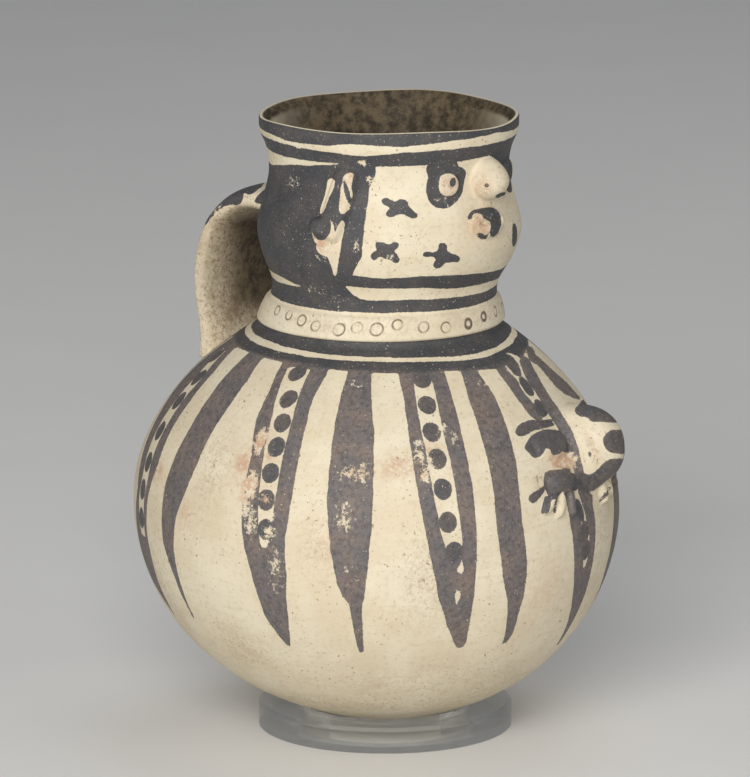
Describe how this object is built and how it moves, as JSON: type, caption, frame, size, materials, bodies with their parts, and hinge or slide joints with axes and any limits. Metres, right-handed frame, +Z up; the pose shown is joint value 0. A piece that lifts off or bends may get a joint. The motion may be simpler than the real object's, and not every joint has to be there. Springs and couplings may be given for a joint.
{
  "type": "effigy vessel",
  "caption": "Round-bellied painted earthenware jar with a modelled face on its neck, a strap handle and a small creature at the chest, held up by a clear acrylic ring.",
  "frame": {"origin": "on the surface that the display ring stands on, under the middle of the whole object's box", "axes": "+Z up the jar, the face looks along -Y, the handle is at +Y, and +X is the figure's left"},
  "size_m": [0.1714, 0.1779, 0.2205],
  "materials": {
    "slip_painted_earthenware": "matt cream slip on fired clay with brownish-black brushed paint, worn to pink clay in places",
    "clear_acrylic": "polished clear acrylic"
  },
  "bodies": {
    "root": {"jar": "slip_painted_earthenware", "display_ring": "clear_acrylic"}
  },
  "joints": []
}
